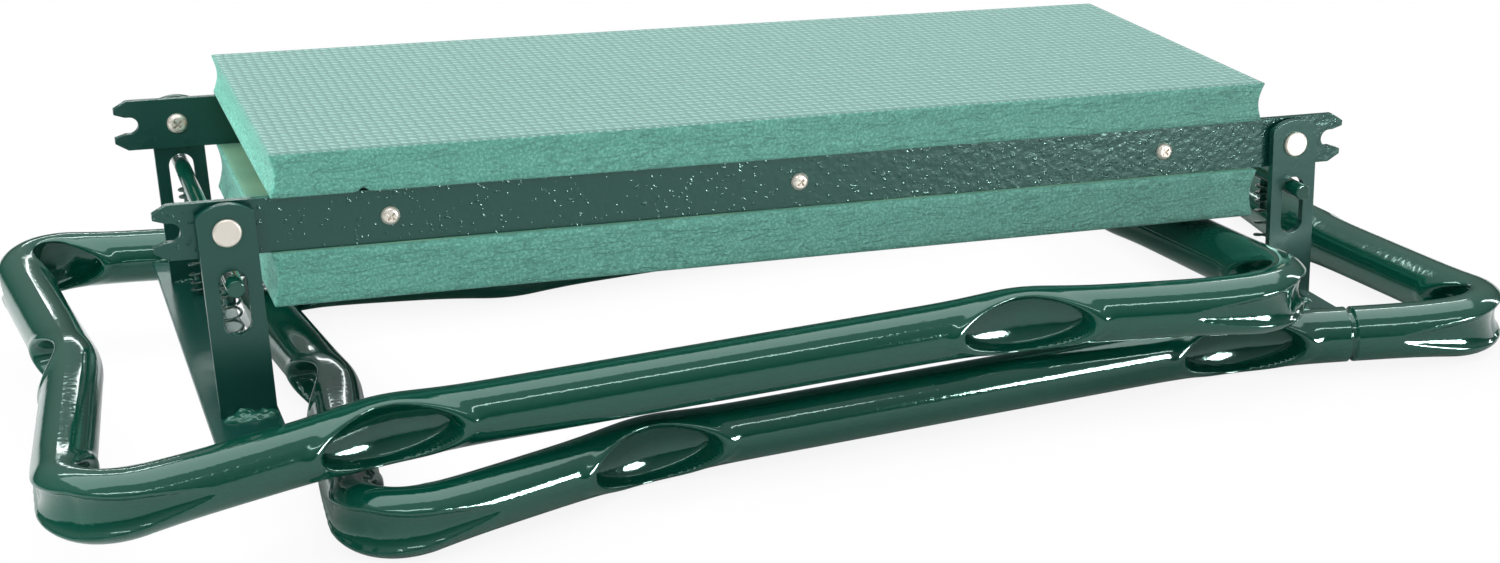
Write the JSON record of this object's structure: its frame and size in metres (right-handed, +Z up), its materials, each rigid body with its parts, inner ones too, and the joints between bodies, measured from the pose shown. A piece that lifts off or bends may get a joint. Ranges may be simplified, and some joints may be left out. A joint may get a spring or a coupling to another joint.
{
  "type": "folding garden kneeler seat",
  "caption": "Folding garden kneeler and seat, folded flat: padded board between flat-bar rails, with tubular leg loops on pivoted arms and spring-loaded lock rods.",
  "frame": {"origin": "centre of the footprint, on the ground that the lower leg loop lies on", "axes": "+X along the rails, towards the pivots of the lower leg loop; +Y towards the rear rail; +Z up, square to the two folded leg loops"},
  "size_m": [0.5794, 0.2822, 0.133],
  "materials": {
    "rail_paint": "satin",
    "tube_paint": "gloss",
    "foam": "matte",
    "board": "matte",
    "zinc": "gloss",
    "spring_steel": "satin"
  },
  "bodies": {
    "seat": {"front_rail": "rail_paint", "rear_rail": "rail_paint", "seat_board": "board", "seat_pad": "foam", "kneel_pad": "foam", "front_board_screws": "zinc", "rear_board_screws": "zinc", "pivot_posts": "zinc", "pivot_screws": "zinc", "pivot_washers": "zinc"},
    "left_leg": {"left_leg_loop": "tube_paint", "left_cross_strap": "rail_paint", "left_front_arm": "rail_paint", "left_rear_arm": "rail_paint", "left_spring_studs": "rail_paint", "left_front_spring": "spring_steel", "left_rear_spring": "spring_steel"},
    "left_lock": {"left_lock_rod": "tube_paint", "left_rod_studs": "rail_paint"},
    "right_leg": {"right_leg_loop": "tube_paint", "right_cross_strap": "rail_paint", "right_front_arm": "rail_paint", "right_rear_arm": "rail_paint", "right_spring_studs": "rail_paint", "right_front_spring": "spring_steel", "right_rear_spring": "spring_steel"},
    "right_lock": {"right_lock_rod": "tube_paint", "right_rod_studs": "rail_paint"}
  },
  "joints": [
    {"name": "right_leg_fold", "type": "hinge", "parent": "seat", "child": "right_leg", "pos_m": [0.21155, 0, 0.0805], "axis": [0, -1, 0], "range_deg": [0, 86.28]},
    {"name": "right_lock_slide", "type": "slide", "parent": "right_leg", "child": "right_lock", "axis": [0, 0, -1], "range_m": [0, 0.0153], "deforming": ["right_front_spring", "right_rear_spring"]},
    {"name": "left_leg_fold", "type": "hinge", "parent": "seat", "child": "left_leg", "pos_m": [-0.21155, 0, 0.108], "axis": [0, 1, 0], "range_deg": [0, 0.4]},
    {"name": "left_lock_slide", "type": "slide", "parent": "left_leg", "child": "left_lock", "axis": [0, 0, -1], "range_m": [0, 0.0153], "deforming": ["left_front_spring", "left_rear_spring"]}
  ],
  "couplings": [
    {"joint": "right_lock_slide", "follows": "right_leg_fold", "m_per_rad": 0.0101}
  ]
}
